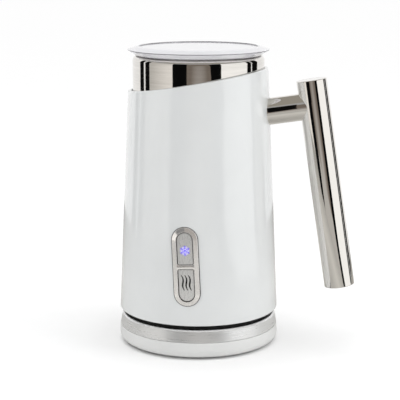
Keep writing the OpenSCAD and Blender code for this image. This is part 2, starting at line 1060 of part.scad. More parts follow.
module lid_seal() {
    color([0.8, 0.8, 0.82])
        rotate_extrude()
            polygon([
                [plug_r - 0.8, seal_z], [plug_r + 0.3, seal_z],
                [collar_in_r - 0.3, seal_z + 0.9], [collar_in_r - 0.3, seal_z + 1.6],
                [plug_r + 0.3, seal_z + seal_h], [plug_r - 0.8, seal_z + seal_h]
            ]);
}

// ---------- Whisk ----------

module whisk_bush() {
    color("white")
        difference() {
            rod(bush_out_r, bush_z, bush_top_z);
            rod(pin_r + fit_gap, bush_z - 1, pin_top_z + 0.4);
        }
}

module whisk_hub() {
    flange_t = (hub_h - 2 * (coil_minor_r + coil_wire_r) - 0.1) / 2;
    color([0.12, 0.12, 0.12])
        difference() {
            rotate_extrude()
                polygon([
                    [bush_out_r + fit_gap, hub_z], [hub_r, hub_z], [hub_r, hub_z + flange_t],
                    [hub_groove_r, hub_z + flange_t], [hub_groove_r, hub_z + hub_h - flange_t],
                    [hub_r, hub_z + hub_h - flange_t], [hub_r - 0.6, hub_z + hub_h],
                    [hub_sleeve_r + 2, hub_z + hub_h], [hub_sleeve_r, hub_z + hub_h + 2],
                    [hub_sleeve_r, hub_sleeve_top_z], [bush_out_r + fit_gap, hub_sleeve_top_z]
                ]);
            ring_of(4, magnet_at)
                rod(magnet_r, 0, hub_z + whisk_magnet_h);
        }
}

module whisk_magnets() {
    color([0.55, 0.55, 0.58])
        ring_of(4, magnet_at)
            rod(magnet_r, hub_z, hub_z + whisk_magnet_h);
}

module whisk_cap() {
    color([0.12, 0.12, 0.12])
        rotate_extrude()
            polygon(concat(
                [[bush_out_r + 0.3, hub_sleeve_top_z], [hub_sleeve_r, hub_sleeve_top_z]],
                arc(3.2, bush_top_z + 2, 2.6, 0, 90, 6),
                [[0, bush_top_z + 4.6], [0, bush_top_z + 0.3], [bush_out_r + 0.3, bush_top_z + 0.3]]
            ));
}

// A wire wound round a ring: centre of the wire at step i, then its rings of points
function coil_turn(i) = 360 * i / coil_steps;
function coil_around(i) = 360 * i / (coil_turns * coil_steps);
function coil_dir(i) = [cos(coil_around(i)), sin(coil_around(i)), 0];
function coil_out(i) = cos(coil_turn(i)) * coil_dir(i) + [0, 0, sin(coil_turn(i))];
function coil_point(i) =
    coil_major_r * coil_dir(i) + coil_minor_r * coil_out(i) + [0, 0, hub_z + hub_h / 2];
function unit(v) = v / norm(v);

module froth_coil() {
    n = coil_turns * coil_steps;
    rings = [
        for (i = [0 : n - 1])
            let (
                ahead = unit(coil_point(i + 0.5) - coil_point(i - 0.5)),
                side = unit(cross(ahead, coil_out(i))),
                out = cross(side, ahead)
            )
                for (k = [0 : coil_sides - 1])
                    let (a = 360 * k / coil_sides)
                        coil_point(i) + coil_wire_r * (cos(a) * out + sin(a) * side)
    ];
    faces = [
        for (i = [0 : n - 1])
            for (k = [0 : coil_sides - 1])
                let (
                    j = (i + 1) % n,
                    m = (k + 1) % coil_sides
                )
                    [
                        i * coil_sides + k, i * coil_sides + m,
                        j * coil_sides + m, j * coil_sides + k
                    ]
    ];
    color("silver")
        polyhedron(points = rings, faces = faces);
}

base_housing();
base_steel_ring();
base_deck();
base_bottom_plate();
base_foot_ring();
base_screws();
base_connector();
base_contacts();
cord_gland();
outer_shell();
jug_bottom_cover();
jug_bottom_screws();
jug_socket();
socket_contacts();
inner_cup();
cup_seal();
pivot_pin();
chassis();
heater_plate();
heater_element();
heater_screws();
thermostat();
temperature_sensor();
motor();
motor_screws();
motor_shaft();
magnet_carrier();
drive_magnets();
power_board();
control_board();
button_switches();
status_led();
board_carrier();
board_screws();
panel_bezel();
froth_button();
froth_icon_lens();
heat_button();
heat_icon_inlay();
handle_stub();
handle_tube();
handle_top_cap();
handle_bottom_cap();
handle_insert();
handle_bolt();
handle_backing_plate();
lid();
lid_seal();
whisk_bush();
whisk_hub();
whisk_magnets();
whisk_cap();
froth_coil();
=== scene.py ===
import math

import bmesh
import bpy
from mathutils import Matrix, Vector
from mathutils.bvhtree import BVHTree
from mathutils.interpolate import poly_3d_calc


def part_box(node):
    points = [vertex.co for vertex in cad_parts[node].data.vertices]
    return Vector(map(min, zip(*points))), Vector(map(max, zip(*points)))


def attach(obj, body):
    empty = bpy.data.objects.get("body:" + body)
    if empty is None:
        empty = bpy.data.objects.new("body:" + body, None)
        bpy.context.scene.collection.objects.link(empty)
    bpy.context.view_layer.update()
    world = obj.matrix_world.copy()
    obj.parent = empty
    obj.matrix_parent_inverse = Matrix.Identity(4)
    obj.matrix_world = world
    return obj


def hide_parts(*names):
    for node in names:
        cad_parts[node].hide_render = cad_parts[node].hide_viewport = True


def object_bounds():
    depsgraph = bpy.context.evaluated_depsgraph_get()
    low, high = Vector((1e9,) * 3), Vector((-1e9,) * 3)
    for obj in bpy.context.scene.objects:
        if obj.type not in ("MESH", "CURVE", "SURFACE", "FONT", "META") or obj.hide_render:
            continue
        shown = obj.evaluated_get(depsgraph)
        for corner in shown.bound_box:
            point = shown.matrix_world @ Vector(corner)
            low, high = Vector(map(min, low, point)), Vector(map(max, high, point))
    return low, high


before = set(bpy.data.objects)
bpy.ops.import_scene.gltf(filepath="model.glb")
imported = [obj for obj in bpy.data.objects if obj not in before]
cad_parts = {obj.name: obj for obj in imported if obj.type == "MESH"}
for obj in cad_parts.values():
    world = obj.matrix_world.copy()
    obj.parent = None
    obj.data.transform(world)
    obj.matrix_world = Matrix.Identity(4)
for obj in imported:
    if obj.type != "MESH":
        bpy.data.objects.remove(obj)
cad_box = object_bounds()
MM = 0.001


# ---------- Places, from the frame ----------

CONE = math.radians(2.52)          # slope of the shell's side
CUT = math.radians(9.6)            # slope of the shell's top cut
PANEL_TURN = math.radians(3)       # turn of the panel in its own plane
Z = Vector((0, 0, 1))


def middle(node):
    low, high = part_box(node)
    return (low + high) / 2


def radius(node):
    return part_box(node)[1].y


def points_in(node, matrix):
    """A CAD node's lowest and highest corner in another frame."""
    inverse = matrix.inverted()
    points = [inverse @ v.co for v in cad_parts[node].data.vertices]
    low = Vector(min(p[i] for p in points) for i in range(3))
    high = Vector(max(p[i] for p in points) for i in range(3))
    return low, high


shell_low, shell_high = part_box("outer_shell")
SHELL_EDGE = 1.3 * MM              # rounding of the shell's bottom edge
SHELL_WALL = 2.4 * MM


def shell_r(z):
    return shell_high.x - (z - shell_low.z - SHELL_EDGE) * math.tan(CONE)


panel_z = middle("panel_bezel").z
panel = (
    Matrix.Translation((0, -shell_r(panel_z), panel_z))
    @ Matrix.Rotation(math.pi / 2 - CONE, 4, "X")
    @ Matrix.Rotation(PANEL_TURN, 4, "Z")
)
tube_up = (middle("handle_top_cap") - middle("handle_bottom_cap")).normalized()
tube_joint = middle("handle_insert")
tube_r = radius("handle_tube")
stub_out = Vector((tube_up.z, 0, -tube_up.x))

# the button panel, in its own frame: X across, Y along, Z out of the shell
BEZEL_FOOT = -1.2 * MM             # height of the bezel's underside
NECK_R = 7 * MM                    # the part of the bezel that goes through the shell
PANEL_FIT = 0.05 * MM
BUTTON_GAP = 0.35 * MM
KEY_FOOT = -3.2 * MM               # height of the keys' undersides
WALL_CLEAR = (-8 * MM, 6 * MM)     # heights inside and outside the shell's wall


# ---------- Mesh helpers ----------

def arc(centre, r, start, end, steps):
    """Points along an arc in a plane, angles in degrees."""
    angles = [math.radians(start + (end - start) * i / steps) for i in range(steps + 1)]
    return [(centre[0] + r * math.cos(a), centre[1] + r * math.sin(a)) for a in angles]


def rounded(corners, steps=6, closed=True):
    """A polyline with its corners rounded. Each corner is (x, y) or (x, y, radius)."""
    count = len(corners)
    out = []
    for i, corner in enumerate(corners):
        p = Vector(corner[:2])
        r = corner[2] if len(corner) > 2 else 0
        if r == 0 or (not closed and i in (0, count - 1)):
            out.append(tuple(p))
            continue
        a = (Vector(corners[i - 1][:2]) - p).normalized()
        b = (Vector(corners[(i + 1) % count][:2]) - p).normalized()
        half = a.angle(b) / 2
        reach = r / math.tan(half)
        centre = p + (a + b).normalized() * (r / math.sin(half))
        start = p + a * reach - centre
        end = p + b * reach - centre
        turn = start.angle_signed(end)
        for k in range(steps + 1):
            spun = start.copy()
            spun.rotate(Matrix.Rotation(-turn * k / steps, 2))
            out.append(tuple(centre + spun))
    return out


def add_object(name, data):
    obj = bpy.data.objects.new(name, data)
    bpy.context.scene.collection.objects.link(obj)
    return obj


def new_object(name, vertices, faces, body, materials, sharp=32, weld=False):
    mesh = bpy.data.meshes.new(name)
    mesh.from_pydata(vertices, [], faces)
    mesh.validate()
    if weld:
        weld_mesh(mesh)
    mesh.shade_smooth()
    mesh.set_sharp_from_angle(angle=math.radians(sharp))
    obj = add_object(name, mesh)
    for m in materials:
        mesh.materials.append(m)
    # large faces keep their own direction, so a flat or straight side reflects as one
    modifier = obj.modifiers.new("normals", "WEIGHTED_NORMAL")
    modifier.keep_sharp = True
    modifier.weight = 100
    apply_modifiers(obj)
    if body:
        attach(obj, body)
    return obj


def evaluated(obj):
    """A new mesh of obj as it looks with its modifiers."""
    bpy.context.view_layer.update()
    graph = bpy.context.evaluated_depsgraph_get()
    return bpy.data.meshes.new_from_object(obj.evaluated_get(graph))


def apply_modifiers(obj):
    mesh = evaluated(obj)
    old = obj.data
    obj.modifiers.clear()
    obj.data = mesh
    if old.users == 0:
        bpy.data.meshes.remove(old)


def weld_mesh(mesh):
    edit = bmesh.new()
    edit.from_mesh(mesh)
    bmesh.ops.remove_doubles(edit, verts=edit.verts, dist=1e-7)
    bmesh.ops.recalc_face_normals(edit, faces=edit.faces)
    edit.to_mesh(mesh)
    edit.free()


def loft(rings, closed=True, capped=False):
    """Vertices and quads through rings of points, each ring a closed loop."""
    n = len(rings[0])
    vertices = [p for ring in rings for p in ring]
    faces = []
    count = len(rings)
    for j in range(count if closed else count - 1):
        k = (j + 1) % count
        for i in range(n):
            m = (i + 1) % n
            faces.append((j * n + i, j * n + m, k * n + m, k * n + i))
    if capped:
        faces.append(tuple(reversed(range(n))))
        faces.append(tuple((count - 1) * n + i for i in range(n)))
    return vertices, faces


def revolve(name, profile, body, materials, turns=224, matrix=None, sharp=32):
    """A solid of revolution about Z. The profile runs anticlockwise in (radius, height)."""
    matrix = matrix or Matrix.Identity(4)
    vertices, faces, rings = [], [], []
    for r, z in profile:
        if r < 1e-7:
            vertices.append(matrix @ Vector((0, 0, z)))
            rings.append([len(vertices) - 1])
            continue
        first = len(vertices)
        for i in range(turns):
            a = 2 * math.pi * i / turns
            vertices.append(matrix @ Vector((r * math.cos(a), r * math.sin(a), z)))
        rings.append(list(range(first, first + turns)))
    for j, low in enumerate(rings):
        high = rings[(j + 1) % len(rings)]
        if len(low) == 1 and len(high) == 1:
            continue
        for i in range(turns):
            m = (i + 1) % turns
            if len(low) == 1:
                faces.append((low[0], high[m], high[i]))
            elif len(high) == 1:
                faces.append((low[i], low[m], high[0]))
            else:
                faces.append((low[i], low[m], high[m], high[i]))
    return new_object(name, vertices, faces, body, materials, sharp)


def sweep(name, path, r, body, materials, sides=12, closed=False):
    """A round tube along a path of points."""
    rings = []
    count = len(path)
    normal = None
    for i, p in enumerate(path):
        before = path[i - 1] if closed or i > 0 else path[i]
        after = path[(i + 1) % count] if closed or i < count - 1 else path[i]
        ahead = (after - before).normalized()
        if normal is None:
            normal = ahead.orthogonal().normalized()
        normal = (normal - ahead * normal.dot(ahead)).normalized()
        side = ahead.cross(normal)
        ring = []
        for k in range(sides):
            a = 2 * math.pi * k / sides
            ring.append(p + r * (math.cos(a) * normal + math.sin(a) * side))
        rings.append(ring)
    vertices, faces = loft(rings, closed=closed, capped=not closed)
    return new_object(name, vertices, faces, body, materials, sharp=50)


def plate(name, outlines, low, high, edge, matrix, body, materials, steps=4):
    """A flat piece from outlines in its own plane, the first the outside and the others holes,
    with its edges rounded by edge."""
    curve = bpy.data.curves.new(name, "CURVE")
    curve.dimensions = "2D"
    curve.fill_mode = "BOTH"
    for outline in outlines:
        spline = curve.splines.new("POLY")
        spline.points.add(len(outline) - 1)
        for point, (x, y) in zip(spline.points, outline):
            point.co = (x, y, 0, 1)
        spline.use_cyclic_u = True
    curve.extrude = (high - low) / 2 - edge
    curve.bevel_depth = edge
    curve.bevel_resolution = steps
    curve.offset = -edge
    holder = add_object(name, curve)
    mesh = evaluated(holder)
    bpy.data.objects.remove(holder)
    mesh.transform(matrix @ Matrix.Translation((0, 0, (low + high) / 2)))
    vertices = [v.co.copy() for v in mesh.vertices]
    faces = [tuple(f.vertices) for f in mesh.polygons]
    bpy.data.meshes.remove(mesh)
    return new_object(name, vertices, faces, body, materials, weld=True)


def cut(obj, cutter):
    """Cuts cutter out of obj, keeps obj's own shading normals, and removes cutter."""
    source = obj.data.copy()
    modifier = obj.modifiers.new("cut", "BOOLEAN")
    modifier.operation = "DIFFERENCE"
    modifier.solver = "EXACT"
    modifier.object = cutter
    apply_modifiers(obj)
    bpy.data.objects.remove(cutter)
    keep_normals(obj.data, source)
    bpy.data.meshes.remove(source)


ON_SURFACE = 2e-6                  # metres from a face that still count as on it
SAME_WAY = 0.99                    # cosine of the angle between faces that lie on each other


def keep_normals(mesh, source):
    """Faces that lie on the source mesh take its normals, which stay smooth across a cut."""
    corners = [v.co for v in source.vertices]
    tree = BVHTree.FromPolygons(corners, [tuple(f.vertices) for f in source.polygons])
    own = [n.vector.copy() for n in mesh.corner_normals]
    old = [n.vector.copy() for n in source.corner_normals]
    for face in mesh.polygons:
        _, normal, index, distance = tree.find_nearest(face.center)
        if distance is None or distance > ON_SURFACE or normal.dot(face.normal) < SAME_WAY:
            continue
        home = source.polygons[index]
        outline = [corners[v] for v in home.vertices]
        for loop in face.loop_indices:
            here = mesh.vertices[mesh.loops[loop].vertex_index].co
            shares = poly_3d_calc(outline, here)
            blended = Vector((0, 0, 0))
            for share, corner in zip(shares, home.loop_indices):
                blended += old[corner] * share
            if blended.length > 0.5:
                own[loop] = blended.normalized()
    mesh.normals_split_custom_set(own)


# ---------- Materials ----------

class Paint:
    """A node material, with short calls for the nodes that the finishes share. Sizes in relief
    are metres, and noise scales are per metre."""

    def __init__(self, name, color, metallic=0.0, roughness=0.5, **sockets):
        self.material = bpy.data.materials.new(name)
        self.material.use_nodes = True
        self.tree = self.material.node_tree
        self.shader = self.tree.nodes["Principled BSDF"]
        self.set("Base Color", (*color, 1))
        self.set("Metallic", metallic)
        self.set("Roughness", roughness)
        for socket, value in sockets.items():
            self.set(socket.replace("_", " "), value)
        self.bump = None

    def set(self, socket, value):
        self.shader.inputs[socket].default_value = value

    def node(self, kind, **inputs):
        made = self.tree.nodes.new("ShaderNode" + kind)
        for socket, value in inputs.items():
            self.put(made, socket.replace("_", " "), value)
        return made

    def put(self, node, socket, value):
        target = node.inputs[socket]
        if isinstance(value, bpy.types.NodeSocket):
            self.tree.links.new(value, target)
        else:
            target.default_value = value

    def place(self, scale=(1, 1, 1), turn=(0, 0, 0)):
        """The piece's own coordinates, in metres, turned and stretched."""
        where = self.node("TexCoord").outputs["Object"]
        mapping = self.node("Mapping", Vector=where, Scale=scale, Rotation=turn)
        return mapping.outputs["Vector"]

    def round_z(self, scale=(1, 1, 1)):
        """Angle round Z, radius and height, each stretched: for marks that run round a piece."""
        split = self.node("SeparateXYZ", Vector=self.node("TexCoord").outputs["Object"])
        x, y, z = split.outputs
        x2, y2 = self.math("MULTIPLY", x, x), self.math("MULTIPLY", y, y)
        r = self.math("SQRT", self.math("ADD", x2, y2))
        angle = self.math("ARCTAN2", y, x)
        made = self.node(
            "CombineXYZ",
            X=self.math("MULTIPLY", self.math("SINE", angle), scale[0]),
            Y=self.math("MULTIPLY", self.math("COSINE", angle), scale[0]),
            Z=self.math("ADD", self.math("MULTIPLY", r, scale[1]),
                        self.math("MULTIPLY", z, scale[2])),
        )
        return made.outputs["Vector"]

    def distance(self, origin=(0, 0, 0)):
        """How far each place is from origin."""
        made = self.node("VectorMath", Vector=self.place())
        made.operation = "DISTANCE"
        made.inputs[1].default_value = origin
        return made.outputs["Value"]

    def math(self, operation, a, b=0):
        made = self.node("Math")
        made.operation = operation
        self.put(made, 0, a)
        self.put(made, 1, b)
        return made.outputs[0]

    def noise(self, vector, scale=1.0, detail=4.0, rough=0.55):
        made = self.node("TexNoise", Vector=vector, Scale=scale, Detail=detail, Roughness=rough)
        return made.outputs["Fac"]

    def between(self, value, low, high, start=0.3, end=0.7):
        """value, which runs from start to end, spread from low to high."""
        made = self.node("MapRange", Value=value, From_Min=start, From_Max=end,
                         To_Min=low, To_Max=high)
        return made.outputs["Result"]

    def mixed(self, share, first, second):
        """The colour that lies at share of the way from first to second."""
        made = self.node("Mix")
        made.data_type = "RGBA"
        self.put(made, "Factor", share)
        made.inputs[6].default_value = (*first, 1)
        made.inputs[7].default_value = (*second, 1)
        return made.outputs[2]

    def vary(self, value, first, second, start=0.3, end=0.7):
        """The base colour runs from one colour to another."""
        share = self.between(value, 0, 1, start, end)
        self.put(self.shader, "Base Color", self.mixed(share, first, second))

    def rough(self, value, low, high, start=0.3, end=0.7):
        self.put(self.shader, "Roughness", self.between(value, low, high, start, end))

    def relief(self, height, depth, strength=1.0):
        """Bump of that depth in metres, on top of any given before."""
        made = self.node("Bump", Height=height, Distance=depth, Strength=strength)
        if self.bump is not None:
            self.put(made, "Normal", self.bump)
        self.bump = made.outputs["Normal"]
        self.put(self.shader, "Normal", self.bump)


def gloss_plastic(name, color, roughness=0.14, coat=0.5):
    """Moulded and polished plastic, with the faint waviness of a large moulding."""
    paint = Paint(name, color, roughness=roughness, Coat_Weight=coat, Coat_Roughness=0.04)
    cloud = paint.noise(paint.place(), scale=35, detail=3)
    darker = tuple(c * 0.97 for c in color)
    paint.vary(cloud, darker, color)
    paint.rough(paint.noise(paint.place(), scale=90), roughness * 0.85, roughness * 1.25)
    paint.relief(paint.noise(paint.place(), scale=260, detail=2), 6e-6)
    return paint.material


def mould_plastic(name, color, roughness=0.5, grain=2400):
    """Plastic with the fine texture of a spark-eroded mould."""
    paint = Paint(name, color, roughness=roughness)
    cloud = paint.noise(paint.place(), scale=60)
    paint.vary(cloud, tuple(c * 0.85 for c in color), color)
    spark = paint.noise(paint.place(), scale=grain, detail=2)
    paint.rough(spark, roughness * 0.85, min(1, roughness * 1.2))
    paint.relief(spark, 25e-6)
    return paint.material


def polished_steel(name, color=(0.78, 0.755, 0.72), low=0.025, high=0.075, drawn=1,
                   metallic=1):
    """Polished stainless steel: a mirror with a faint haze and hairlines. drawn is the
    brightness of the marks that run round a drawn piece, 1 for none."""
    paint = Paint(name, color, metallic=metallic, roughness=0.05)
    haze = paint.noise(paint.place(), scale=70, detail=5)
    paint.rough(haze, low, high)
    streak = paint.noise(paint.round_z((0.8, 520, 520)), detail=4, rough=0.7)
    paint.vary(streak, tuple(c * drawn for c in color), color)
    lines = paint.noise(paint.place(scale=(1, 1, 0.03)), scale=2600, detail=2)
    paint.relief(lines, 0.25e-6)
    paint.relief(paint.noise(paint.place(), scale=45, detail=1), 6e-6)
    return paint.material


def turned_steel(name, color, low, high, lines=1500, metallic=1, depth=0.9):
    """Satin steel brushed round Z. depth is the brightness of its darkest marks."""
    paint = Paint(name, color, metallic=metallic, roughness=high, Anisotropic=0.6)
    tangent = paint.node("Tangent")
    tangent.direction_type = "RADIAL"
    tangent.axis = "Z"
    paint.put(paint.shader, "Tangent", tangent.outputs[0])
    streak = paint.noise(paint.round_z((2, lines, lines)), detail=5, rough=0.7)
    paint.rough(streak, low, high)
    paint.vary(streak, tuple(c * depth for c in color), color)
    paint.relief(streak, 3e-6)
    return paint.material


def brushed_steel(name, color, frame_matrix, low=0.22, high=0.42):
    """Satin steel brushed along the panel's own length."""
    turn = frame_matrix.inverted().to_euler()
    paint = Paint(name, color, metallic=0.65, roughness=high, Anisotropic=0.5)
    streak = paint.noise(paint.place((9000, 260, 260), turn), detail=4, rough=0.7)
    paint.rough(streak, low, high)
    paint.vary(streak, tuple(c * 0.86 for c in color), color)
    paint.relief(streak, 4e-6)
    return paint.material


def metal(name, color, low, high, grain=700):
    """Plain metal with a mottled finish, for screws, cans and castings."""
    paint = Paint(name, color, metallic=1, roughness=high)
    speck = paint.noise(paint.place(), scale=grain, detail=5)
    paint.rough(speck, low, high)
    paint.vary(speck, tuple(c * 0.85 for c in color), color)
    paint.relief(speck, 8e-6)
    return paint.material


def rubber(name, color, roughness=0.7):
    paint = Paint(name, color, roughness=roughness, Specular_IOR_Level=0.2)
    dust = paint.noise(paint.place(), scale=300, detail=5)
    paint.vary(dust, color, tuple(min(1, c * 1.25 + 0.01) for c in color))
    paint.rough(dust, roughness * 0.9, min(1, roughness * 1.15))
    paint.relief(paint.noise(paint.place(), scale=1800), 15e-6)
    return paint.material


def clear_plastic(name, color, clear_share):
    """Milky plastic that lets clear_share of the light through, with fine scratches from use."""
    paint = Paint(name, color, roughness=0.04, IOR=1.49, Transmission_Weight=clear_share)
    scratch = paint.noise(paint.place((1, 8, 1)), scale=400, detail=6)
    paint.rough(scratch, 0.03, 0.08)
    paint.relief(paint.noise(paint.place(), scale=120, detail=1), 4e-6)
    return paint.material


def silicone(name):
    paint = Paint(name, (0.78, 0.78, 0.8), roughness=0.42, Transmission_Weight=0.25)
    cloud = paint.noise(paint.place(), scale=500)
    paint.rough(cloud, 0.36, 0.5)
    paint.vary(cloud, (0.72, 0.72, 0.75), (0.82, 0.82, 0.84))
    paint.relief(cloud, 8e-6)
    return paint.material


def glow(name, color, strength):
    """A part lit from behind, with slightly uneven light."""
    paint = Paint(name, color, roughness=0.3, Emission_Color=(*color, 1))
    light = paint.noise(paint.place(), scale=900, detail=2)
    paint.put(paint.shader, "Emission Strength", paint.between(light, strength * 0.7, strength))
    return paint.material


def halo(centre):
    """The button's steel round the lit icon, with the light that spreads through it."""
    paint = Paint("icon_halo", (0.6, 0.6, 0.6), metallic=0.6, roughness=0.4)
    paint.set("Emission Color", (0.56, 0.52, 1.0, 1))
    light = paint.between(paint.distance(centre), 0.75, 0, 1.8 * MM, HALO_R)
    paint.put(paint.shader, "Emission Strength", light)
    return paint.material


def circuit_board(name):
    """Solder mask with a blocky pattern of tracks under it."""
    paint = Paint(name, (0.02, 0.16, 0.07), roughness=0.35)
    made = paint.node("TexVoronoi", Vector=paint.place(), Scale=420)
    made.distance = "MANHATTAN"
    paint.vary(made.outputs["Distance"], (0.03, 0.24, 0.1), (0.015, 0.12, 0.055), 0.1, 0.4)
    paint.relief(made.outputs["Distance"], 20e-6)
    return paint.material


white = gloss_plastic("gloss_white", (0.745, 0.76, 0.76))
base_white = gloss_plastic("base_white", (0.76, 0.765, 0.755), 0.38, 0)
steel = polished_steel("polished_steel")
cup_steel = polished_steel("cup_steel", drawn=0.88)
satin = turned_steel("satin_ring", (0.83, 0.835, 0.835), 0.24, 0.40, 1300, 0.66, 0.92)
# painted highlight: a brighter, less metallic copy of the ring's satin steel, for the bright line along
# its top bevel
satin_painted_highlight = turned_steel("satin_painted_highlight", (0.97, 0.97, 0.97), 0.2, 0.3, metallic=0.3)
cup_floor_steel = turned_steel("turned_cup", (0.72, 0.72, 0.71), 0.16, 0.32, 900)
button_steel = brushed_steel("button_steel", (0.85, 0.85, 0.84), panel)
bezel_steel = polished_steel("bezel_steel", (0.96, 0.94, 0.92), 0.06, 0.13, metallic=0.75)
black = mould_plastic("black_plastic", (0.012, 0.012, 0.013), 0.42)
matt_black = rubber("matt_black", (0.005, 0.005, 0.005), 0.9)
black_rubber = rubber("black_rubber", (0.015, 0.015, 0.016))
clear = clear_plastic("clear_lid", (0.885, 0.88, 0.91), 0.24)
# painted shade: a darker copy of the lid's clear plastic, for its upright edge and the line at its seat
clear_painted_shade = clear_plastic("clear_lid_painted_shade", (0.36, 0.35, 0.37), 0.4)
seal = silicone("silicone")
icon_blue = glow("icon_blue", (0.11, 0.07, 0.72), 0.4)
icon_dark = rubber("icon_dark", (0.008, 0.008, 0.009), 0.8)
HALO_R = 3.6 * MM
screw_steel = metal("screw_steel", (0.55, 0.55, 0.56), 0.25, 0.45)
brass = metal("brass", (0.75, 0.52, 0.22), 0.2, 0.4)
cast = metal("cast_aluminium", (0.62, 0.62, 0.63), 0.45, 0.7, 300)
tinted = metal("heat_tinted_steel", (0.28, 0.22, 0.19), 0.35, 0.6, 200)
can = metal("motor_can", (0.5, 0.5, 0.52), 0.3, 0.5)
magnet = metal("magnet", (0.45, 0.45, 0.48), 0.15, 0.3)
brown = mould_plastic("brown_phenolic", (0.09, 0.045, 0.03), 0.55)
cream = mould_plastic("cream_epoxy", (0.72, 0.66, 0.48), 0.4)
nylon = mould_plastic("natural_nylon", (0.68, 0.67, 0.62), 0.5)
green = circuit_board("circuit_board")
led = glow("led", (0.3, 0.25, 1.0), 1.5)

NODE_PAINTS = {
    "base_deck": matt_black, "base_bottom_plate": black, "base_foot_ring": black_rubber,
    "base_screws": screw_steel, "base_connector": black, "base_contacts": brass,
    "cord_gland": black_rubber, "jug_bottom_cover": matt_black, "jug_bottom_screws": screw_steel,
    "jug_socket": black, "socket_contacts": brass, "cup_seal": black_rubber,
    "pivot_pin": steel, "chassis": nylon, "heater_plate": cast, "heater_element": tinted,
    "heater_screws": screw_steel, "thermostat": brown, "temperature_sensor": cream,
    "motor": can, "motor_screws": screw_steel, "motor_shaft": steel, "magnet_carrier": black,
    "drive_magnets": magnet, "power_board": green, "control_board": green,
    "button_switches": black, "status_led": led, "board_carrier": black,
    "board_screws": screw_steel, "handle_insert": brass, "handle_bolt": screw_steel,
    "handle_backing_plate": screw_steel, "whisk_bush": nylon, "whisk_hub": black,
    "whisk_magnets": magnet, "whisk_cap": black,
}
for node, paint in NODE_PAINTS.items():
    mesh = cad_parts[node].data
    mesh.materials.clear()
    mesh.materials.append(paint)


# ---------- Base ----------

# the gland's room, as left, right, under and over its axis
GLAND_FLANGE = (-5.45 * MM, 5.45 * MM, -4.35 * MM, 4.35 * MM)
GLAND_BLOCK = (-4.6 * MM, 4.6 * MM, -4.0 * MM, 7 * MM)
GLAND_CORNER = 1.5 * MM
FLANGE_START = 52.8 * MM           # how far back the flange's seat and the block's notch start
BLOCK_START = 45.4 * MM


def gland_prism(name, sides, start, end, corner):
    """The room for the cord gland in the back of the base, from start back to end."""
    left, right, under, over = sides
    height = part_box("cord_gland")[0].z - GLAND_FLANGE[2] - 0.05 * MM
    outline = rounded([
        (left, -over, corner), (right, -over, corner),
        (right, -under, corner), (left, -under, corner),
    ])
    back = Matrix.Translation((0, 0, height)) @ Matrix.Rotation(-math.pi / 2, 4, "X")
    return prism(name, outline, start, end, back)


def build_base():
    low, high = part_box("base_housing")
    r = high.x
    under = low.z
    ring_z = high.z
    bore = 47.2 * MM
    wall = 3 * MM
    housing = rounded([
        (bore, under),
        (r, under, 5.1 * MM),
        (r - 0.5 * MM, ring_z, 0.35 * MM),
        (r - wall, ring_z),
        (r - wall, under + 4 * MM),
        (bore, under + 2 * MM),
    ], steps=10)
    made = revolve("base_shell", housing, "base", [base_white])
    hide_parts("base_housing")
    past = r + 1 * MM
    cut(made, gland_prism("gland_seat", GLAND_FLANGE, FLANGE_START, past, GLAND_CORNER))
    cut(made, gland_prism("gland_notch", GLAND_BLOCK, BLOCK_START, past, 0))

    ring_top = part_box("base_steel_ring")[1].z
    top_r = 51.9 * MM
    lip_r = 50.15 * MM
    foot_r = r - 0.65 * MM
    skin = 0.8 * MM
    groove = 0.28 * MM             # the dark line between the ring and the housing
    bevel = 0.85 * MM
    ring = rounded([
        (foot_r - 0.5 * MM, ring_z),
        (foot_r - 0.5 * MM, ring_z + groove),
        (foot_r, ring_z + groove, 0.08 * MM),
        (top_r + 0.1 * MM, ring_top - bevel, 0.12 * MM),
        (top_r - 0.7 * MM, ring_top, 0.15 * MM),
        (lip_r, ring_top, 0.2 * MM),
        (lip_r, ring_top - skin),
        (top_r - skin - 0.3 * MM, ring_top - skin),
        (foot_r - skin, ring_z),
    ], steps=4)
    made = revolve("base_ring", ring, "base", [satin, satin_painted_highlight])
    # the ring's top bevel takes the painted highlight
    for polygon in made.data.polygons:
        if polygon.center.z > ring_top - bevel - 0.01 * MM:
            polygon.material_index = 1
    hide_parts("base_steel_ring")


# ---------- Jug ----------

def meet_cut(cut_z, rise, shift):
    """Radius and height where the shell's wall, moved in by shift, meets the top cut's plane,
    which is at cut_z on the axis and rises by rise towards this side."""
    foot = shell_r(0) - shift
    r = (foot - math.tan(CONE) * cut_z) / (1 + math.tan(CONE) * rise)
    return r, cut_z + rise * r


def build_shell():
    turns = 288
    levels = 10                    # steps in height along each wall
    inner = SHELL_WALL / math.cos(CONE)
    low = shell_low.z
    slope = math.tan(CUT)
    cut_z = shell_high.z - slope * shell_r(shell_high.z)
    rings = []
    for i in range(turns):
        a = 2 * math.pi * i / turns
        r_out, z_out = meet_cut(cut_z, slope * math.cos(a), 0)
        r_in, z_in = meet_cut(cut_z, slope * math.cos(a), inner)
        outline = [
            (shell_r(low) - inner + 0.6 * MM, low),
            (shell_r(low), low, SHELL_EDGE),
        ]
        for k in range(1, levels):
            z = low + (z_out - low) * k / levels
            outline.append((shell_r(z), z))
        outline += [(r_out, z_out, 0.9 * MM), (r_in, z_in, 0.5 * MM)]
        for k in range(levels - 1, 0, -1):
            z = low + (z_in - low) * k / levels
            outline.append((shell_r(z) - inner, z))
        outline.append((shell_r(low) - inner, low + 0.6 * MM))
        ring = []
        for r, z in rounded(outline, steps=7):
            ring.append(Vector((r * math.cos(a), r * math.sin(a), z)))
        rings.append(ring)
    vertices, faces = loft(rings)
    faces = [tuple(reversed(f)) for f in faces]
    made = new_object("jug_shell", vertices, faces, "jug", [white])
    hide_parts("outer_shell")
    high = points_in("panel_bezel", panel)[1]
    pocket = stadium_outline(high.x + PANEL_FIT, high.y - high.x)
    neck = stadium_outline(NECK_R + PANEL_FIT, high.y - high.x)
    cut(made, prism("pocket", pocket, BEZEL_FOOT, WALL_CLEAR[1], panel))
    cut(made, prism("neck", neck, WALL_CLEAR[0], 0, panel))


